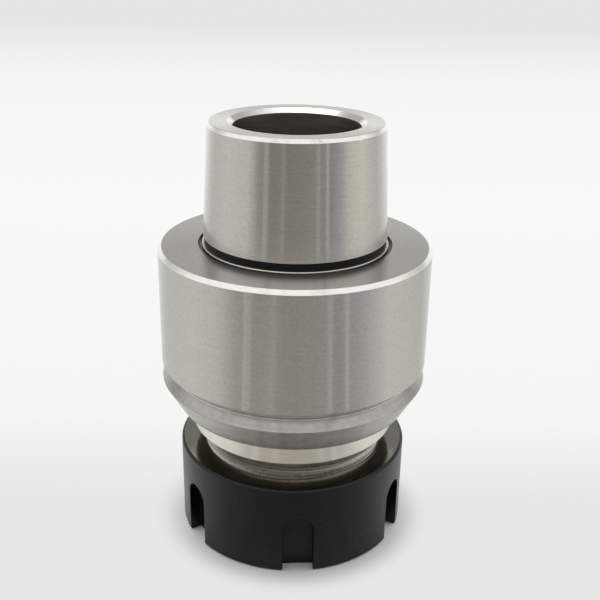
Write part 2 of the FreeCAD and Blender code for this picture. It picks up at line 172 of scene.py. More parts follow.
def directionRamp(tree, place, stops):
    # a ramp round the upright axis: 0 at the back, 0.5 at the front
    parts = addNode(tree, "ShaderNodeSeparateXYZ", links={0: place})
    forward = addNode(tree, "ShaderNodeMath", {"operation": "MULTIPLY"}, {1: -1.0}, {0: parts.outputs["Y"]})
    turn = addNode(tree, "ShaderNodeMath", {"operation": "ARCTAN2"},
                   links={0: parts.outputs["X"], 1: forward.outputs[0]})
    share = addNode(tree, "ShaderNodeMapRange", {}, {1: -math.pi, 2: math.pi, 3: 0.0, 4: 1.0},
                    {0: turn.outputs[0]})
    ramp = addNode(tree, "ShaderNodeValToRGB", links={0: share.outputs[0]})
    setStops(ramp, [((angle + 180) / 360, hexCode) for angle, hexCode in stops])
    return ramp.outputs[0]


def makeFloor():
    material = newMaterial("paleBenchPaint")  # matt paint near the holder that keeps soft shadows; further out it glows, a painted brightness that changes from front to back, and shows painted reflections to glossy rays
    tree = material.node_tree
    place = addNode(tree, "ShaderNodeNewGeometry").outputs["Position"]
    reach = addNode(tree, "ShaderNodeVectorMath", {"operation": "LENGTH"}, links={0: place}).outputs["Value"]
    rays = addNode(tree, "ShaderNodeLightPath")
    paint = addNode(tree, "ShaderNodeBsdfDiffuse", values={"Color": colour(studio["floorPaint"])})
    parts = addNode(tree, "ShaderNodeSeparateXYZ", links={0: place})
    front, back = studio["seenGlow"][0][0], studio["seenGlow"][-1][0]
    seenShare = addNode(tree, "ShaderNodeMapRange", {}, {1: front, 2: back}, {0: parts.outputs["Y"]})
    seen = addNode(tree, "ShaderNodeValToRGB", links={0: seenShare.outputs[0]})
    setStops(seen, [((along - front) / (back - front), hexCode) for along, hexCode in studio["seenGlow"]])
    near = directionRamp(tree, place, studio["nearGlow"])
    far = directionRamp(tree, place, studio["farGlow"])
    farShare = addNode(tree, "ShaderNodeMapRange", smoothStep, dict(zip((1, 2), studio["nearToFar"])),
                       {0: reach}).outputs[0]
    mirrored = addNode(tree, "ShaderNodeMix", {"data_type": "RGBA"},
                       links={0: farShare, 6: near, 7: far}).outputs[2]
    shown = addNode(tree, "ShaderNodeMix", {"data_type": "RGBA"},
                    links={0: rays.outputs["Is Glossy Ray"], 6: seen.outputs[0], 7: mirrored}).outputs[2]
    glow = addNode(tree, "ShaderNodeEmission", links={"Color": shown})
    direct = addNode(tree, "ShaderNodeMath", {"operation": "MAXIMUM"},
                     links={0: rays.outputs["Is Camera Ray"], 1: rays.outputs["Is Glossy Ray"]})
    clear = addNode(tree, "ShaderNodeMath", {"operation": "MAXIMUM"},
                    links={0: direct.outputs[0], 1: rays.outputs["Is Transmission Ray"]})
    away = addNode(tree, "ShaderNodeMapRange", smoothStep, dict(zip((1, 2), studio["shadowReach"])),
                   {0: reach}).outputs[0]
    share = addNode(tree, "ShaderNodeMath", {"operation": "MULTIPLY"}, links={0: clear.outputs[0], 1: away})
    blend = addNode(tree, "ShaderNodeMixShader",
                    links={0: share.outputs[0], 1: paint.outputs[0], 2: glow.outputs[0]})
    addNode(tree, "ShaderNodeOutputMaterial", links={"Surface": blend.outputs[0]})
    mesh = bpy.data.meshes.new("benchFloor")
    shape = bmesh.new()
    bmesh.ops.create_circle(shape, cap_ends=True, segments=96, radius=studio["floorRadius"])
    shape.to_mesh(mesh)
    shape.free()
    mesh.materials.append(material)
    floor = bpy.data.objects.new("benchFloor", mesh)
    bpy.context.scene.collection.objects.link(floor)


def makeRoom():
    world = bpy.data.worlds.new("paleRoom")
    world.use_nodes = True
    tree = world.node_tree
    tree.nodes.clear()
    direction = addNode(tree, "ShaderNodeTexCoord").outputs["Generated"]
    rays = addNode(tree, "ShaderNodeLightPath")
    low = directionRamp(tree, direction, studio["farGlow"])
    high = directionRamp(tree, direction, studio["highGlow"])
    height = addNode(tree, "ShaderNodeSeparateXYZ", links={0: direction}).outputs["Z"]
    rise = addNode(tree, "ShaderNodeMapRange", smoothStep, dict(zip((1, 2), studio["lowToHigh"])),
                   {0: height}).outputs[0]
    higher = addNode(tree, "ShaderNodeMix", {"data_type": "RGBA"},
                     links={0: rise, 6: low, 7: high}).outputs[2]
    zenith = addNode(tree, "ShaderNodeMapRange", smoothStep, dict(zip((1, 2), studio["highToZenith"])),
                     {0: height}).outputs[0]
    mirrored = addNode(tree, "ShaderNodeMix", {"data_type": "RGBA"}, {7: (1, 1, 1, 1)},
                       {0: zenith, 6: higher}).outputs[2]
    sides = directionRamp(tree, direction, studio["softGlow"])
    overhead = addNode(tree, "ShaderNodeMapRange", smoothStep, dict(zip((1, 2), studio["sidesToTop"])),
                       {0: height}).outputs[0]
    soft = addNode(tree, "ShaderNodeMix", {"data_type": "RGBA"}, {7: (1, 1, 1, 1)},
                   {0: overhead, 6: sides}).outputs[2]
    plain = addNode(tree, "ShaderNodeBackground", {}, {"Strength": studio["roomLevel"]}, {"Color": soft})
    seen = addNode(tree, "ShaderNodeBackground", values={"Color": colour(studio["seenRoom"])})
    glossy = addNode(tree, "ShaderNodeBackground", links={"Color": mirrored})
    inGloss = addNode(tree, "ShaderNodeMixShader",
                      links={0: rays.outputs["Is Glossy Ray"], 1: plain.outputs[0], 2: glossy.outputs[0]})
    inView = addNode(tree, "ShaderNodeMixShader",
                     links={0: rays.outputs["Is Camera Ray"], 1: inGloss.outputs[0], 2: seen.outputs[0]})
    addNode(tree, "ShaderNodeOutputWorld", links={"Surface": inView.outputs[0]})
    bpy.context.scene.world = world


def makeLamp():
    data = bpy.data.lights.new("softLamp", "AREA")
    data.shape = "DISK"
    data.size = studio["lampSize"]
    data.energy = studio["lampPower"]
    lamp = bpy.data.objects.new("softLamp", data)
    lamp.location = studio["lampPlace"]
    lamp.rotation_euler = (-lamp.location).to_track_quat("-Z", "Y").to_euler()
    bpy.context.scene.collection.objects.link(lamp)


makeFloor()
makeRoom()
makeLamp()
print("studio ready")


# Finishes

def latheLines(tree, settings):
    # streaks that run round the spindle axis, from the object's own coordinates in metres
    place = addNode(tree, "ShaderNodeTexCoord").outputs["Object"]
    parts = addNode(tree, "ShaderNodeSeparateXYZ", links={0: place})
    flat = addNode(tree, "ShaderNodeVectorMath", {"operation": "MULTIPLY"}, {1: (1, 1, 0)}, {0: place})
    reach = addNode(tree, "ShaderNodeVectorMath", {"operation": "LENGTH"}, links={0: flat.outputs[0]})
    heading = addNode(tree, "ShaderNodeVectorMath", {"operation": "NORMALIZE"}, links={0: flat.outputs[0]})
    along = addNode(tree, "ShaderNodeVectorMath", {"operation": "SCALE"},
                    {"Scale": settings["streaksRound"]}, {0: heading.outputs[0]})
    across = addNode(tree, "ShaderNodeMath", {"operation": "MULTIPLY_ADD"}, {1: slopeShare},
                     {0: reach.outputs["Value"], 2: parts.outputs["Z"]})
    spaced = addNode(tree, "ShaderNodeMath", {"operation": "DIVIDE"},
                     {1: settings["lineSpacing"] * mm}, {0: across.outputs[0]})
    upward = addNode(tree, "ShaderNodeCombineXYZ", links={2: spaced.outputs[0]})
    grid = addNode(tree, "ShaderNodeVectorMath", {"operation": "ADD"},
                   links={0: along.outputs[0], 1: upward.outputs[0]})
    lines = addNode(tree, "ShaderNodeTexNoise", {}, {"Scale": 1.0, "Detail": 3.0, "Roughness": 0.65},
                    {"Vector": grid.outputs[0]})
    return place, lines.outputs["Fac"]


def steelFinish(name, settings):
    material = newMaterial(name)
    tree = material.node_tree
    place, lines = latheLines(tree, settings)
    cloudy = addNode(tree, "ShaderNodeTexNoise", {},
                     {"Scale": 1 / (settings["smudgeSize"] * mm), "Detail": 4.0}, {"Vector": place})
    tone = addNode(tree, "ShaderNodeValToRGB", links={0: lines})
    setStops(tone, [(noiseBand[0], settings["lineDark"]), (noiseBand[1], settings["lineLight"])])
    smudge = addNode(tree, "ShaderNodeMapRange", {},
                     {1: 0.35, 2: 0.75, 3: 0.0, 4: settings["smudgeStrength"]}, {0: cloudy.outputs["Fac"]})
    shade = addNode(tree, "ShaderNodeMix", {"data_type": "RGBA"}, {7: colour(settings["smudge"])},
                    {0: smudge.outputs[0], 6: tone.outputs[0]})
    rough = addNode(tree, "ShaderNodeMapRange", {},
                    dict(enumerate(noiseBand + settings["roughness"], start=1)), {0: cloudy.outputs["Fac"]})
    bump = addNode(tree, "ShaderNodeBump", {}, {"Strength": 1.0, "Distance": settings["lineDepth"] * mm},
                   {"Height": lines})
    tangent = addNode(tree, "ShaderNodeTangent", {"direction_type": "RADIAL", "axis": "Z"})
    shader = addNode(tree, "ShaderNodeBsdfPrincipled", {},
                     {"Metallic": 1.0, "Anisotropic": settings["anisotropy"], "Anisotropic Rotation": 0.25},
                     {"Base Color": shade.outputs[2], "Roughness": rough.outputs[0],
                      "Normal": bump.outputs[0], "Tangent": tangent.outputs[0]})
    addNode(tree, "ShaderNodeOutputMaterial", links={"Surface": shader.outputs[0]})
    return material


# Case-hardened steel, ground between centres: mirror-like round the axis, drawn out along it
groundSteel = steelFinish("cylindricalGroundSteel", {
    "lineDark": "C6C4BF", "lineLight": "D0CECA", "lineSpacing": 0.16, "lineDepth": 0.00008,
    "streaksRound": 2.5, "smudge": "A6A39E", "smudgeSize": 0.7, "smudgeStrength": 0.3,
    "roughness": (0.17, 0.19), "anisotropy": 0.95,
})
# The same steel, fine turned: regular tool marks, with a brighter, creamier colour that is painted light for
# the bright bench it reflects
turnedSteelPaintedLight = steelFinish("fineTurnedSteel", {
    "lineDark": "EAE5DC", "lineLight": "F4F0E8", "lineSpacing": 0.22, "lineDepth": 0.00002,
    "streaksRound": 0.5, "smudge": "DDD7CD", "smudgeSize": 7.0, "smudgeStrength": 0.25,
    "roughness": (0.26, 0.29), "anisotropy": 0.85,
})
# The cone and the gripper groove's lower flank: darker than the ground steel, a painted shade for the shaded
# bench that they reflect
coneShadedSteel = steelFinish("hardTurnedConeSteel", {
    "lineDark": "A4A29D", "lineLight": "B2B0AB", "lineSpacing": 0.2, "lineDepth": 0.00004,
    "streaksRound": 2.5, "smudge": "8E8B86", "smudgeSize": 2.0, "smudgeStrength": 0.4,
    "roughness": (0.15, 0.18), "anisotropy": 0.92,
})
# Bevels: a near-white colour that makes them the brightest metal on the holder, a painted highlight
edgePaintedHighlight = steelFinish("stonedEdgeSteel", {
    "lineDark": "ECEAE6", "lineLight": "F6F5F2", "lineSpacing": 0.2, "lineDepth": 0.00004,
    "streaksRound": 6.0, "smudge": "D8D5D0", "smudgeSize": 2.0, "smudgeStrength": 0.3,
    "roughness": (0.14, 0.18), "anisotropy": 0.9,
})
# Bores, grooves, and the thread's core and relief: brownish, dark and dull, a painted shade for these
# recesses
recessShadeSteel = steelFinish("furnaceDarkSteel", {
    "lineDark": "6A625B", "lineLight": "8A817A", "lineSpacing": 0.5, "lineDepth": 0.002,
    "streaksRound": 1.0, "smudge": "57504A", "smudgeSize": 6.0, "smudgeStrength": 0.5,
    "roughness": (0.38, 0.46), "anisotropy": 0.5,
})
# The nut's top face, surface ground after blacking
groundNutFace = steelFinish("groundNutFaceSteel", {
    "lineDark": "8A8982", "lineLight": "9F9E96", "lineSpacing": 0.3, "lineDepth": 0.0002,
    "streaksRound": 1.0, "smudge": "807F78", "smudgeSize": 5.0, "smudgeStrength": 0.4,
    "roughness": (0.11, 0.15), "anisotropy": 0.6,
})
# Hardened ring and collet steel, ground all over
ringSteel = steelFinish("hardenedGroundRingSteel", {
    "lineDark": "B3B0AA", "lineLight": "C2BFB9", "lineSpacing": 0.3, "lineDepth": 0.0008,
    "streaksRound": 1.5, "smudge": "A29E97", "smudgeSize": 6.0, "smudgeStrength": 0.4,
    "roughness": (0.24, 0.3), "anisotropy": 0.8,
})
springSteel = steelFinish("groundSpringSteel", {
    "lineDark": "BEBBB5", "lineLight": "CCC9C4", "lineSpacing": 0.35, "lineDepth": 0.0008,
    "streaksRound": 1.5, "smudge": "ABA7A0", "smudgeSize": 7.0, "smudgeStrength": 0.3,
    "roughness": (0.2, 0.26), "anisotropy": 0.8,
})


def blackFinish(name, settings):
    material = newMaterial(name)
    tree = material.node_tree
    place = addNode(tree, "ShaderNodeTexCoord").outputs["Object"]
    grain = addNode(tree, "ShaderNodeTexNoise", {}, {"Scale": 1 / (settings["grain"] * mm), "Detail": 2.0},
                    {"Vector": place})
    cloudy = addNode(tree, "ShaderNodeTexNoise", {}, {"Scale": 1 / (settings["patch"] * mm), "Detail": 3.0},
                     {"Vector": place})
    tone = addNode(tree, "ShaderNodeValToRGB", links={0: cloudy.outputs["Fac"]})
    setStops(tone, [(0.35, settings["dark"]), (0.7, settings["light"])])
    cells = addNode(tree, "ShaderNodeTexVoronoi", {}, {"Scale": 1 / (settings["dustSpacing"] * mm)},
                    {"Vector": place})
    small = addNode(tree, "ShaderNodeMath", {"operation": "LESS_THAN"}, {1: settings["dustSize"]},
                    {0: cells.outputs["Distance"]})
    chance = addNode(tree, "ShaderNodeSeparateColor", links={0: cells.outputs["Color"]})
    few = addNode(tree, "ShaderNodeMath", {"operation": "GREATER_THAN"}, {1: settings["dustRarity"]},
                  {0: chance.outputs[0]})
    dust = addNode(tree, "ShaderNodeMath", {"operation": "MULTIPLY"},
                   links={0: small.outputs[0], 1: few.outputs[0]})
    shade = addNode(tree, "ShaderNodeMix", {"data_type": "RGBA"}, {7: colour(settings["dust"])},
                    {0: dust.outputs[0], 6: tone.outputs[0]})
    rough = addNode(tree, "ShaderNodeMapRange", {},
                    dict(enumerate(noiseBand + settings["roughness"], start=1)), {0: cloudy.outputs["Fac"]})
    bump = addNode(tree, "ShaderNodeBump", {}, {"Strength": 1.0, "Distance": settings["grainDepth"] * mm},
                   {"Height": grain.outputs["Fac"]})
    shader = addNode(tree, "ShaderNodeBsdfPrincipled", {}, {"IOR": settings["ior"]},
                     {"Base Color": shade.outputs[2], "Roughness": rough.outputs[0],
                      "Normal": bump.outputs[0]})
    addNode(tree, "ShaderNodeOutputMaterial", links={"Surface": shader.outputs[0]})
    return material


# Hot black oxide over a fine-turned nut: satin, oil-sealed, dust clings to it
blackOxide = blackFinish("hotBlackOxideSteel", {
    "dark": "04050A", "light": "090B12", "dust": "66666A", "grain": 0.25, "grainDepth": 0.0006, "patch": 9.0,
    "dustSpacing": 1.6, "dustSize": 0.07, "dustRarity": 0.72, "roughness": (0.28, 0.34), "ior": 1.4,
})
# The undercut at the shank's foot: black and dull, a painted shade for this recess, with a few specks of dust
undercutPaintedShade = blackFinish("heatScaleSteel", {
    "dark": "060606", "light": "0B0A0A", "dust": "1A1918", "grain": 0.3, "grainDepth": 0.002, "patch": 4.0,
    "dustSpacing": 3.0, "dustSize": 0.05, "dustRarity": 0.9, "roughness": (0.5, 0.6), "ior": 1.35,
})
# Grub screws come black from the box, a little shinier
blackScrew = blackFinish("blackOxideGrubScrewSteel", {
    "dark": "141414", "light": "1E1E1D", "dust": "6A6A68", "grain": 0.2, "grainDepth": 0.001, "patch": 4.0,
    "dustSpacing": 2.4, "dustSize": 0.05, "dustRarity": 0.85, "roughness": (0.28, 0.36), "ior": 1.6,
})


def polishedFinish():
    # bearing steel, lapped: a clean mirror with the faintest haze
    material = newMaterial("lappedBearingSteel")
    tree = material.node_tree
    place = addNode(tree, "ShaderNodeTexCoord").outputs["Object"]
    haze = addNode(tree, "ShaderNodeTexNoise", {}, {"Scale": 1 / (1.5 * mm), "Detail": 2.0},
                   {"Vector": place})
    tone = addNode(tree, "ShaderNodeValToRGB", links={0: haze.outputs["Fac"]})
    setStops(tone, [(noiseBand[0], "D8D8D8"), (noiseBand[1], "E4E4E3")])
    rough = addNode(tree, "ShaderNodeMapRange", {}, {3: 0.04, 4: 0.09}, {0: haze.outputs["Fac"]})
    shader = addNode(tree, "ShaderNodeBsdfPrincipled", {}, {"Metallic": 1.0},
                     {"Base Color": tone.outputs[0], "Roughness": rough.outputs[0]})
    addNode(tree, "ShaderNodeOutputMaterial", links={"Surface": shader.outputs[0]})
    return material


ballSteel = polishedFinish()
print("finishes ready")


# Turned shapes

def roundedOutline(corners):
    # corners are (radius, height, edge radius) in millimetres, then the finish of the side that starts there
    # where a piece has more than one
    points = []
    for index, (radius, height, edge, *finish) in enumerate(corners):
        here = Vector((radius, height))
        back = Vector(corners[index - 1][:2]) - here
        ahead = Vector(corners[(index + 1) % len(corners)][:2]) - here
        if edge == 0 or radius == 0:
            points.append((here, finish))
            continue
        half = back.angle(ahead) / 2
        cut = min(edge / math.tan(half), 0.45 * back.length, 0.45 * ahead.length)  # roundings never meet
        start = here + back.normalized() * cut
        end = here + ahead.normalized() * cut
        for step in range(edgeSteps + 1):
            share = step / edgeSteps
            bend = start * (1 - share) ** 2 + here * 2 * share * (1 - share) + end * share ** 2
            points.append((bend, finish))
    return points


def turnedShape(corners, finishNames=(), steps=turnSteps):
    # a closed skin from an outline swept about the upright axis; a corner on the axis becomes one point
    shape = bmesh.new()
    outline = roundedOutline(corners)
    rings = []
    for point, _ in outline:
        angles = [math.tau * step / steps for step in range(steps)] if point.x > 0 else [0.0]
        rings.append([shape.verts.new((point.x * mm * math.cos(angle), point.x * mm * math.sin(angle),
                                       point.y * mm)) for angle in angles])
    for index, (point, finish) in enumerate(outline):
        lower, upper = rings[index], rings[(index + 1) % len(rings)]
        if len(lower) == 1 and len(upper) == 1:
            continue
        for step in range(steps):
            following = (step + 1) % steps
            ends = [lower[step % len(lower)], lower[following % len(lower)],
                    upper[following % len(upper)], upper[step % len(upper)]]
            face = shape.faces.new(list(dict.fromkeys(ends)))
            if finishNames:
                face.material_index = finishNames.index(finish[0])
    bmesh.ops.recalc_face_normals(shape, faces=shape.faces)
    return shape


def newPiece(name, shape, materials):
    mesh = bpy.data.meshes.new(name)
    shape.to_mesh(mesh)
    shape.free()
    for material in materials:
        mesh.materials.append(material)
    piece = bpy.data.objects.new(name, mesh)
    bpy.context.scene.collection.objects.link(piece)
    return piece


def settle(piece, mend=False):
    # turns the modifiers' result into a plain mesh, smooth but for its real edges
    graph = bpy.context.evaluated_depsgraph_get()
    graph.update()
    mesh = bpy.data.meshes.new_from_object(piece.evaluated_get(graph), preserve_all_data_layers=True,
                                           depsgraph=graph)
    piece.modifiers.clear()
    old = piece.data
    piece.data = mesh
    bpy.data.meshes.remove(old)
    mesh.name = piece.name
    if mend:
        shape = bmesh.new()
        shape.from_mesh(mesh)
        bmesh.ops.remove_doubles(shape, verts=shape.verts, dist=weldReach * mm)
        bmesh.ops.recalc_face_normals(shape, faces=shape.faces)
        shape.to_mesh(mesh)
        shape.free()


def smoothAll(piece):
    piece.data.polygons.foreach_set("use_smooth", [True] * len(piece.data.polygons))


def shadeByFaces(piece):
    # large faces keep their own direction and the narrow edge faces take the turn
    smoothAll(piece)
    piece.data.set_sharp_from_angle(angle=smoothBelow)
    weighted = piece.modifiers.new("weightedNormals", "WEIGHTED_NORMAL")
    weighted.mode = "FACE_AREA"
    weighted.weight = 100
    weighted.keep_sharp = True
    settle(piece)


def newTree(name, inputs):
    # inputs are (name, last word of the socket type)
    tree = bpy.data.node_groups.new(name, "GeometryNodeTree")
    for label, kind in [("Geometry", "Geometry"), *inputs, ("Finish", "Material")]:
        tree.interface.new_socket(label, in_out="INPUT", socket_type="NodeSocket" + kind)
    tree.interface.new_socket("Geometry", in_out="OUTPUT", socket_type="NodeSocketGeometry")
    return tree, addNode(tree, "NodeGroupInput")


def closeTree(tree, given, source):
    real = addNode(tree, "GeometryNodeRealizeInstances", links={0: source.outputs[0]})
    finish = addNode(tree, "GeometryNodeSetMaterial",
                     links={"Geometry": real.outputs[0], "Material": given.outputs["Finish"]})
    addNode(tree, "NodeGroupOutput", links={0: finish.outputs[0]})
    return tree


def useTree(piece, tree, values):
    modifier = piece.modifiers.new(tree.name, "NODES")
    modifier.node_group = tree
    for item in tree.interface.items_tree:
        if item.item_type == "SOCKET" and item.in_out == "INPUT" and item.name in values:
            modifier[item.identifier] = values[item.name]


# Node trees for what repeats

def makeRepeatCutTree():
    # cuts copies of one cutter out of a piece, evenly round the axis
    tree, given = newTree("repeatedCuts", [("Cutter", "Object"), ("Count", "Int"), ("First Turn", "Float")])
    cutter = addNode(tree, "GeometryNodeObjectInfo", links={"Object": given.outputs["Cutter"]})
    spots = addNode(tree, "GeometryNodePoints", links={"Count": given.outputs["Count"]})
    number = addNode(tree, "GeometryNodeInputIndex")
    pitch = addNode(tree, "ShaderNodeMath", {"operation": "DIVIDE"}, {0: math.tau},
                    {1: given.outputs["Count"]})
    turn = addNode(tree, "ShaderNodeMath", {"operation": "MULTIPLY_ADD"},
                   links={0: number.outputs[0], 1: pitch.outputs[0], 2: given.outputs["First Turn"]})
    rotation = addNode(tree, "ShaderNodeCombineXYZ", links={"Z": turn.outputs[0]})
    copies = addNode(tree, "GeometryNodeInstanceOnPoints",
                     links={"Points": spots.outputs[0], "Instance": cutter.outputs["Geometry"],
                      "Rotation": rotation.outputs[0]})
    cutters = addNode(tree, "GeometryNodeRealizeInstances", links={0: copies.outputs[0]})
    cut = addNode(tree, "GeometryNodeMeshBoolean", {"operation": "DIFFERENCE", "solver": "EXACT"},
                  links={0: given.outputs["Geometry"], 1: cutters.outputs[0]})
    return closeTree(tree, given, cut)


def makeThreadTree():
    # one ridge wound round the axis; a negative depth winds it inside a bore
    sizes = ("Root Radius", "Depth", "Pitch", "Turns", "Start Height", "Crest Width", "Root Width", "Run Out")
    tree, given = newTree("woundThread", [(name, "Float") for name in sizes])
    rise = addNode(tree, "ShaderNodeMath", {"operation": "MULTIPLY"},
                   links={0: given.outputs["Pitch"], 1: given.outputs["Turns"]})
    helix = addNode(tree, "GeometryNodeCurveSpiral", {}, {"Resolution": 96},
                    {"Rotations": given.outputs["Turns"], "Start Radius": given.outputs["Root Radius"],
                     "End Radius": given.outputs["Root Radius"], "Height": rise.outputs[0]})
    upright = addNode(tree, "GeometryNodeSetCurveNormal", {"mode": "Z_UP"}, links={"Curve": helix.outputs[0]})
    along = addNode(tree, "GeometryNodeSplineParameter")
    left = addNode(tree, "ShaderNodeMath", {"operation": "SUBTRACT"}, {0: 1.0}, {1: along.outputs["Factor"]})
    nearest = addNode(tree, "ShaderNodeMath", {"operation": "MINIMUM"},
                      links={0: along.outputs["Factor"], 1: left.outputs[0]})
    inTurns = addNode(tree, "ShaderNodeMath", {"operation": "MULTIPLY"},
                      links={0: nearest.outputs[0], 1: given.outputs["Turns"]})
    grown = addNode(tree, "ShaderNodeMath", {"operation": "DIVIDE", "use_clamp": True},
                    links={0: inTurns.outputs[0], 1: given.outputs["Run Out"]})
    kept = addNode(tree, "ShaderNodeMath", {"operation": "MAXIMUM"}, {1: 0.02},
                   {0: grown.outputs[0]})  # the ridge's ends run out to almost nothing
    tapered = addNode(tree, "GeometryNodeSetCurveRadius",
                      links={"Curve": upright.outputs[0], "Radius": kept.outputs[0]})
    corners = []
    for depthShare, widthName, side in ((0.0, "Root Width", -0.5), (-1.0, "Crest Width", -0.5),
                                        (-1.0, "Crest Width", 0.5), (0.0, "Root Width", 0.5)):
        outward = addNode(tree, "ShaderNodeMath", {"operation": "MULTIPLY"}, {1: depthShare},
                          {0: given.outputs["Depth"]})
        upward = addNode(tree, "ShaderNodeMath", {"operation": "MULTIPLY"}, {1: side},
                         {0: given.outputs[widthName]})
        corners.append(addNode(tree, "ShaderNodeCombineXYZ",
                               links={"X": outward.outputs[0], "Y": upward.outputs[0]}).outputs[0])
    section = addNode(tree, "GeometryNodeCurvePrimitiveQuadrilateral", {"mode": "POINTS"})
    for number, corner in enumerate(corners, start=1):
        tree.links.new(corner, section.inputs[f"Point {number}"])
    ridge = addNode(tree, "GeometryNodeCurveToMesh", {}, {"Fill Caps": True},
                    {"Curve": tapered.outputs[0], "Profile Curve": section.outputs[0]})
    if "Scale" in ridge.inputs:
        radius = addNode(tree, "GeometryNodeInputRadius")
        tree.links.new(radius.outputs[0], ridge.inputs["Scale"])
    lift = addNode(tree, "ShaderNodeCombineXYZ", links={"Z": given.outputs["Start Height"]})
    placed = addNode(tree, "GeometryNodeTransform",
                     links={"Geometry": ridge.outputs[0], "Translation": lift.outputs[0]})
    return closeTree(tree, given, placed)


def makeBallRowTree():
    # balls in a ring, each standing in the race
    tree, given = newTree("ballRow", [("Ball Radius", "Float"), ("Circle Radius", "Float"),
                                      ("Height", "Float"), ("Count", "Int")])
    circle = addNode(tree, "GeometryNodeMeshCircle", {"fill_type": "NONE"},
                     links={"Vertices": given.outputs["Count"], "Radius": given.outputs["Circle Radius"]})
    lift = addNode(tree, "ShaderNodeCombineXYZ", links={"Z": given.outputs["Height"]})
    raised = addNode(tree, "GeometryNodeTransform",
                     links={"Geometry": circle.outputs[0], "Translation": lift.outputs[0]})
    ball = addNode(tree, "GeometryNodeMeshUVSphere", {}, {"Segments": 28, "Rings": 16},
                   {"Radius": given.outputs["Ball Radius"]})
    row = addNode(tree, "GeometryNodeInstanceOnPoints",
                  links={"Points": raised.outputs[0], "Instance": ball.outputs[0]})
    return closeTree(tree, given, row)


repeatedCuts = makeRepeatCutTree()
woundThread = makeThreadTree()
ballRow = makeBallRowTree()


def prismBetween(first, second):
    # first and second are one outline in two places, in millimetres
    shape = bmesh.new()
    ends = [[shape.verts.new([part * mm for part in point]) for point in outline]
            for outline in (first, second)]
    for end in ends:
        shape.faces.new(end)
    for index in range(len(first)):
        following = (index + 1) % len(first)
        shape.faces.new((ends[0][index], ends[0][following], ends[1][following], ends[1][index]))
    bmesh.ops.recalc_face_normals(shape, faces=shape.faces)
    return shape


def prism(points, near, far):
    # an upright outline of (across, height) points drawn out from radius near to radius far, towards -Y
    return prismBetween(*[[(across, -reach, height) for across, height in points] for reach in (near, far)])


def hexagonPrism(width, foot, top):
    # a hexagon key's shape standing on the axis
    reach = width / math.sqrt(3)
    turns = [math.radians(60 * side) for side in range(6)]
    return prismBetween(*[[(reach * math.cos(turn), reach * math.sin(turn), height) for turn in turns]
                          for height in (foot, top)])


def wearOnly(piece, finish):
    piece.data.materials.clear()
    piece.data.materials.append(finish)
    piece.data.polygons.foreach_set("material_index", [0] * len(piece.data.polygons))


def cutAway(piece, cutter, count, firstTurn, finish):
    useTree(piece, repeatedCuts,
            {"Cutter": cutter, "Count": count, "First Turn": firstTurn, "Finish": finish})
    settle(piece)
    wearOnly(piece, finish)
    bpy.data.objects.remove(cutter)


def softenEdges(piece, width):
    # a machined break on every real edge
    bevel = piece.modifiers.new("brokenEdges", "BEVEL")
    bevel.width = width * mm
    bevel.segments = 2
    bevel.limit_method = "ANGLE"
    bevel.angle_limit = breakAbove
    bevel.use_clamp_overlap = False
    settle(piece, mend=True)


def windThread(name, settings, finish):
    piece = newPiece(name, bmesh.new(), [finish])
    turns = (settings["top"] - settings["foot"]) / settings["pitch"]
    useTree(piece, woundThread, {
        "Root Radius": settings["rootRadius"] * mm, "Depth": settings["depth"] * mm,
        "Pitch": settings["pitch"] * mm, "Turns": turns, "Start Height": settings["foot"] * mm,
        "Crest Width": settings["crestWidth"] * mm, "Root Width": settings["rootWidth"] * mm,
        "Run Out": settings["runOut"], "Finish": finish,
    })
    settle(piece, mend=True)
    wearOnly(piece, finish)
    smoothAll(piece)
    piece.data.set_sharp_from_angle(angle=smoothBelow)
    return piece


def register(piece, body, slotName, *nodes):
    if nodes:
        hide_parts(*nodes)
    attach(piece, body)
    print(piece.name, "made,", len(piece.data.polygons), "faces")


# Chuck body: nose, neck, cone, gripper groove, collar and hollow taper shank in one piece

chuck = {
    "noseFoot": 12.003, "noseCore": 23.86, "threadTop": 27.903, "reliefRadius": 23.7, "reliefRise": 0.25,
    "neckFoot": 30.903, "neckRadius": 27.9, "neckTop": 37.803,
    "shoulderRadius": 31.85, "collarRadius": 36.0, "gripFoot": 44.991, "gripTop": 49.891, "gripDepth": 2.3,
    "collarFace": 81.991, "collarBevel": 1.0,
    "faceLand": 24.5, "faceLandRise": 0.3, "faceGroove": 25.45, "faceGrooveDepth": 0.8,
    "undercutRadius": 23.8, "shankFoot": 84.241, "shankRadius": 24.1, "shankTopRadius": 22.675,
    "shankTop": 113.741, "bevelHeight": 0.9, "bevelWidth": 0.6,
    "mouthRadius": 16.15, "mouthBevel": (1.35, 1.2), "lipFoot": 103.741,
    "cavityRadius": 18.55, "cavityTop": 102.356, "cavityFloor": 87.741,
    "stopBore": 9.35, "stopBoreBevel": 0.9, "stopBoreFoot": 67.991, "reliefBore": 13.5,
    "seatTop": 49.999, "seatTopRadius": 15.16, "seatRadius": 20.5,
}


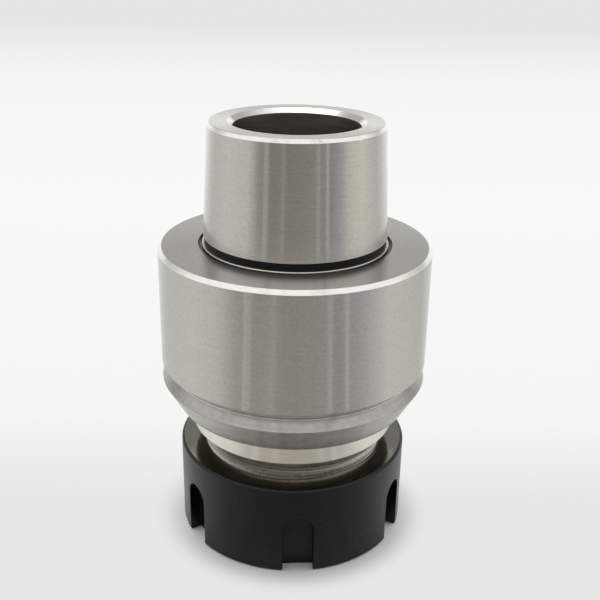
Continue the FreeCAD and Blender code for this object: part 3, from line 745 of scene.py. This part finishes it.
def makeChuckBody():
    c = chuck
    bevelFoot = c["shankTop"] - c["bevelHeight"]
    landTop = c["collarFace"] + c["faceLandRise"]
    corners = [
        (c["seatRadius"], c["noseFoot"], 0.15, "turned"),
        # the thread's core and relief, the face groove and the bores below take the recess finish, painted
        # shade
        (c["noseCore"], c["noseFoot"], 0.15, "recessShade"),
        (c["noseCore"], c["threadTop"], 0.08, "recessShade"),
        (c["reliefRadius"], c["threadTop"] + c["reliefRise"], 0.1, "recessShade"),
        (c["reliefRadius"], c["neckFoot"], 0.25, "recessShade"),
        # the neck takes a brighter steel, painted light
        (c["neckRadius"], c["neckFoot"], 0.3, "turned"),
        (c["neckRadius"], c["neckTop"], 0.25, "turned"),
        # the cone and the lower flank take a darker steel, painted shade
        (c["shoulderRadius"], c["neckTop"], 0.2, "cone"),
        (c["collarRadius"], c["gripFoot"], 0.15, "cone"),
        (c["collarRadius"] - c["gripDepth"], c["gripFoot"] + c["gripDepth"], 0.15, "ground"),
        (c["collarRadius"] - c["gripDepth"], c["gripTop"] - c["gripDepth"], 0.15, "ground"),
        (c["collarRadius"], c["gripTop"], 0.18, "ground"),
        # the bevels take a near-white steel, a painted highlight
        (c["collarRadius"], c["collarFace"] - c["collarBevel"], 0.25, "edge"),
        (c["collarRadius"] - c["collarBevel"], c["collarFace"], 0.25, "ground"),
        (c["faceGroove"], c["collarFace"], 0.06, "recessShade"),
        (c["faceGroove"], c["collarFace"] - c["faceGrooveDepth"], 0.15, "recessShade"),
        (c["faceLand"], c["collarFace"] - c["faceGrooveDepth"], 0.15, "recessShade"),
        (c["faceLand"], landTop, 0.3, "ground"),
        # the undercut takes a black finish that is painted shade
        (c["undercutRadius"], landTop, 0.05, "undercutShaded"),
        (c["undercutRadius"], c["shankFoot"], 0.02, "undercutShaded"),
        (c["shankRadius"], c["shankFoot"], 0.08, "ground"),
        (c["shankTopRadius"], bevelFoot, 0.3, "edge"),
        (c["shankTopRadius"] - c["bevelWidth"], c["shankTop"], 0.2, "ground"),
        (c["mouthRadius"] + c["mouthBevel"][0], c["shankTop"], 0.2, "edge"),
        (c["mouthRadius"], c["shankTop"] - c["mouthBevel"][1], 0.15, "recessShade"),
        (c["mouthRadius"], c["lipFoot"], 0.2, "recessShade"),
        (c["cavityRadius"], c["cavityTop"], 0.3, "recessShade"),
        (c["cavityRadius"], c["cavityFloor"], 0.5, "recessShade"),
        (c["stopBore"] + c["stopBoreBevel"], c["cavityFloor"], 0.1, "recessShade"),
        (c["stopBore"], c["cavityFloor"] - c["stopBoreBevel"], 0, "recessShade"),
        (c["stopBore"], c["stopBoreFoot"], 0, "recessShade"),
        (c["reliefBore"], c["stopBoreFoot"], 0.5, "recessShade"),
        (c["reliefBore"], c["seatTop"], 0.1, "recessShade"),
        (c["seatTopRadius"], c["seatTop"], 0.1, "ground"),
    ]
    finishes = {"ground": groundSteel, "turned": turnedSteelPaintedLight, "cone": coneShadedSteel, "edge": edgePaintedHighlight,
                "recessShade": recessShadeSteel, "undercutShaded": undercutPaintedShade}
    piece = newPiece("chuckBody", turnedShape(corners, list(finishes)), finishes.values())
    shadeByFaces(piece)
    register(piece, "holder", "ground_steel", "chuck_body")


makeChuckBody()

noseThread = {  # M50 by 1.5
    "rootRadius": 23.84, "depth": 0.95, "pitch": 1.5, "foot": 13.3, "top": 27.35,
    "crestWidth": 0.22, "rootWidth": 1.28, "runOut": 0.3,
}
# the thread's bright steel is painted light
register(windThread("noseThread", noseThread, turnedSteelPaintedLight), "holder", "ground_steel")

boreThread = {  # M18 by 1.5, shown at part of its depth so that the screw's plain envelope clears it
    "rootRadius": 9.4, "depth": -0.38, "pitch": 1.5, "foot": 68.6, "top": 86.7,
    "crestWidth": 0.35, "rootWidth": 0.8, "runOut": 0.15,
}
# its dark finish is painted shade for the bore
register(windThread("boreThread", boreThread, recessShadeSteel), "holder", "ground_steel")


# Stop screw, with its hexagon socket and coolant bore

stop = {
    "foot": 70.491, "top": 84.491, "coreRadius": 8.5, "bore": 2.5, "bevel": 0.9,
    "socketWidth": 10.0, "socketDepth": 7.0,
}
stopThread = {
    "rootRadius": 8.47, "depth": 0.41, "pitch": 1.5, "foot": 71.6, "top": 83.4,
    "crestWidth": 0.3, "rootWidth": 0.85, "runOut": 0.2,
}


def makeStopScrew():
    s = stop
    corners = [
        (s["bore"], s["foot"], 0.1), (s["coreRadius"] - s["bevel"], s["foot"], 0.1),
        (s["coreRadius"], s["foot"] + s["bevel"], 0.1), (s["coreRadius"], s["top"] - s["bevel"], 0.1),
        (s["coreRadius"] - s["bevel"], s["top"], 0.1), (s["bore"], s["top"], 0),
    ]
    piece = newPiece("stopScrew", turnedShape(corners, steps=128), [blackScrew])
    socket = hexagonPrism(s["socketWidth"], s["top"] - s["socketDepth"], s["top"] + overcut)
    key = newPiece("keyCutter", socket, [blackScrew])
    cutAway(piece, key, 1, 0.0, blackScrew)
    shadeByFaces(piece)
    register(piece, "stop_screw", "black_screw_steel", "stop_screw")


makeStopScrew()
register(windThread("stopScrewThread", stopThread, blackScrew), "stop_screw", "black_screw_steel")


# Ball race between nut and thrust ring, a channel round both

race = {"circle": 24.15, "height": 5.152, "radius": 2.1}


def raceCorners(middle, spread, steps):
    # the arc of the channel on one side of the balls, from its top to its foot
    angles = [middle + spread - 2 * spread * step / steps for step in range(steps + 1)]
    return [(race["circle"] + race["radius"] * math.cos(angle),
             race["height"] + race["radius"] * math.sin(angle), 0) for angle in angles]


# Clamping nut shell, with spanner slots and the hole that its bearing balls go in by

nut = {
    "radius": 31.5, "top": 25.203, "topBevel": 0.5, "footBevel": 0.5, "mouthBevel": 0.3,
    "threadRoot": 25.0, "undercutRadius": 25.6, "undercutTop": 12.3, "shoulder": 10.303, "shellBore": 24.3,
    "undercutRise": 0.6, "frontEdge": 0.5,
    "slotCount": 6, "slotWidth": 8.1, "slotTop": 17.1, "slotDepth": 3.4, "firstSlot": 3.5, "archSteps": 24,
    "fillHole": 2.3, "fillTurn": 153.5, "holeSteps": 40, "edgeBreak": 0.22,
    "cutFoot": -2.0, "cutPast": 4,  # how far the cutters stand out below the front and outside
}


def makeNutShell():
    n = nut
    corners = [
        (n["shellBore"] + n["frontEdge"], 0.0, 0),
        (n["radius"] - n["footBevel"], 0.0, 0),
        (n["radius"], n["footBevel"], 0),
        (n["radius"], n["top"] - n["topBevel"], 0),
        (n["radius"] - n["topBevel"], n["top"], 0),
        (n["threadRoot"] + n["mouthBevel"], n["top"], 0),
        (n["threadRoot"], n["top"] - n["mouthBevel"], 0),
        (n["threadRoot"], n["undercutTop"] + n["undercutRise"], 0),
        (n["undercutRadius"], n["undercutTop"], 0),
        (n["undercutRadius"], n["shoulder"], 0),
        (n["shellBore"], n["shoulder"], 0),
    ]
    corners += raceCorners(0, math.acos((n["shellBore"] - race["circle"]) / race["radius"]), 8)
    corners.append((n["shellBore"], n["frontEdge"], 0))
    piece = newPiece("nutShell", turnedShape(corners, steps=240), [blackOxide])
    half = n["slotWidth"] / 2
    bends = [math.pi * step / n["archSteps"] for step in range(n["archSteps"] + 1)]
    arch = [(half, n["cutFoot"])]
    arch += [(half * math.cos(bend), n["slotTop"] - half + half * math.sin(bend)) for bend in bends]
    arch += [(-half, n["cutFoot"])]
    outside = n["radius"] + n["cutPast"]
    slotCutter = newPiece("slotCutter", prism(arch, n["radius"] - n["slotDepth"], outside), [blackOxide])
    cutAway(piece, slotCutter, n["slotCount"], math.radians(n["firstSlot"]), blackOxide)
    bends = [math.tau * step / n["holeSteps"] for step in range(n["holeSteps"])]
    hole = [(n["fillHole"] * math.cos(bend), race["height"] + n["fillHole"] * math.sin(bend))
            for bend in bends]
    holeCutter = newPiece("holeCutter", prism(hole, race["circle"], outside), [blackOxide])
    cutAway(piece, holeCutter, 1, math.radians(n["fillTurn"]), blackOxide)
    softenEdges(piece, n["edgeBreak"])
    piece.data.materials.append(groundNutFace)
    for face in piece.data.polygons:  # only the flat top is ground
        if face.normal.z > 0.999 and face.center.z > (n["top"] - 0.05) * mm:
            face.material_index = len(piece.data.materials) - 1
    shadeByFaces(piece)
    register(piece, "nut", "black_oxide_steel", "nut_shell")


makeNutShell()


# Thrust ring: cone against the collet's front, ball race outside, off-centre lip that draws the collet out

ring = {
    "foot": 0.5, "top": 9.803, "radius": 24.0, "edge": 0.4,
    "coneFoot": 16.85, "coneTop": 19.62, "coneTopHeight": 5.303, "landBore": 19.9,
    "lipFoot": 6.603, "lipBore": 16.9, "lipRadius": 19.0, "lipOffset": 0.75, "lipCut": 4, "lipCutMiddle": 1.6,
}


def makeThrustRing():
    r = ring
    corners = [
        (r["coneFoot"], r["foot"], 0.1),
        (r["radius"], r["foot"], r["edge"]),
    ]
    corners += raceCorners(math.pi, math.acos((race["circle"] - r["radius"]) / race["radius"]), 12)
    corners += [
        (r["radius"], r["top"], r["edge"]),
        (r["lipBore"], r["top"], 0),
        (r["lipBore"], r["lipFoot"], 0),
        (r["landBore"], r["lipFoot"], 0),
        (r["landBore"], r["coneTopHeight"], 0),
        (r["coneTop"], r["coneTopHeight"], 0),
    ]
    piece = newPiece("thrustRing", turnedShape(corners, steps=192), [ringSteel])
    shape = bmesh.new()
    middle = Matrix.Translation((r["lipOffset"] * mm, 0, (r["lipFoot"] + r["lipCutMiddle"]) * mm))
    bmesh.ops.create_cone(shape, cap_ends=True, segments=128, radius1=r["lipRadius"] * mm,
                          radius2=r["lipRadius"] * mm, depth=r["lipCut"] * mm, matrix=middle)
    lipCutter = newPiece("lipCutter", shape, [ringSteel])
    cutAway(piece, lipCutter, 1, 0.0, ringSteel)
    shadeByFaces(piece)
    register(piece, "ring_and_collet", "hardened_ring_steel", "thrust_ring")


makeThrustRing()


# Bearing balls

balls = {"radius": 2.0, "count": 36}


def makeBearingBalls():
    piece = newPiece("bearingBalls", bmesh.new(), [ballSteel])
    useTree(piece, ballRow, {"Ball Radius": balls["radius"] * mm, "Circle Radius": race["circle"] * mm,
                             "Height": race["height"] * mm, "Count": balls["count"], "Finish": ballSteel})
    settle(piece)
    wearOnly(piece, ballSteel)
    smoothAll(piece)
    register(piece, "balls", "polished_ball_steel", "bearing_balls")


makeBearingBalls()


# Fill plug, a short grub screw lying radially in the nut's wall

plug = {"radius": 2.25, "foot": 26.3, "top": 30.9, "bevel": 0.25, "socketWidth": 2.0, "socketDepth": 1.8}


def makeFillPlug():
    p = plug
    length = p["top"] - p["foot"]
    corners = [
        (0, 0, 0), (p["radius"], 0, p["bevel"]),
        (p["radius"], length, p["bevel"]), (0, length, 0),
    ]
    piece = newPiece("fillPlug", turnedShape(corners, steps=48), [blackScrew])
    socket = hexagonPrism(p["socketWidth"], length - p["socketDepth"], length + overcut)
    key = newPiece("plugKeyCutter", socket, [blackScrew])
    cutAway(piece, key, 1, 0.0, blackScrew)
    shadeByFaces(piece)
    angle = math.radians(nut["fillTurn"])
    outward = Vector((math.sin(angle), -math.cos(angle), 0))
    piece.data.transform(Matrix.Translation(outward * p["foot"] * mm + Vector((0, 0, race["height"] * mm)))
                         @ outward.to_track_quat("Z", "Y").to_matrix().to_4x4())
    register(piece, "nut", "black_screw_steel", "ball_fill_plug")


makeFillPlug()


# Spring collet, slit from both ends

collet = {
    "foot": 0.8, "top": 46.8, "bore": 10.0, "edge": 0.6, "frontRadius": 16.9, "landRadius": 19.5,
    "landFoot": 5.303, "landTop": 6.303, "grooveRadius": 18.0, "coneFoot": 10.103, "coneRadius": 20.5,
    "coneTopRadius": 15.343, "slitCount": 8, "slitWidth": 1.2, "web": 9.0,
    "slitFoot": -1.0, "slitPast": 2, "slitReach": (8, 23),
}


def makeSpringCollet():
    c = collet
    corners = [
        (c["bore"] + c["edge"], c["foot"], 0.1), (c["frontRadius"], c["foot"], 0.2),
        (c["landRadius"], c["landFoot"], 0.1), (c["landRadius"], c["landTop"], 0.15),
        (c["grooveRadius"], c["landTop"], 0.3), (c["grooveRadius"], c["coneFoot"], 0.3),
        (c["coneRadius"], c["coneFoot"], 0.2), (c["coneTopRadius"], c["top"], 0.2),
        (c["bore"] + c["edge"], c["top"], 0.1), (c["bore"], c["top"] - c["edge"], 0.1),
        (c["bore"], c["foot"] + c["edge"], 0.1),
    ]
    piece = newPiece("springCollet", turnedShape(corners, steps=176), [springSteel])
    half = c["slitWidth"] / 2
    halfPitch = math.pi / c["slitCount"]
    slits = ((c["slitFoot"], c["top"] - c["web"], halfPitch / 2),
             (c["foot"] + c["web"], c["top"] + c["slitPast"], halfPitch * 1.5))
    for foot, top, turn in slits:
        outline = [(-half, foot), (half, foot), (half, top), (-half, top)]
        cutter = newPiece("slitCutter", prism(outline, *c["slitReach"]), [springSteel])
        cutAway(piece, cutter, c["slitCount"], turn, springSteel)
    shadeByFaces(piece)
    register(piece, "ring_and_collet", "ground_spring_steel", "spring_collet")


makeSpringCollet()

bpy.context.view_layer.update()
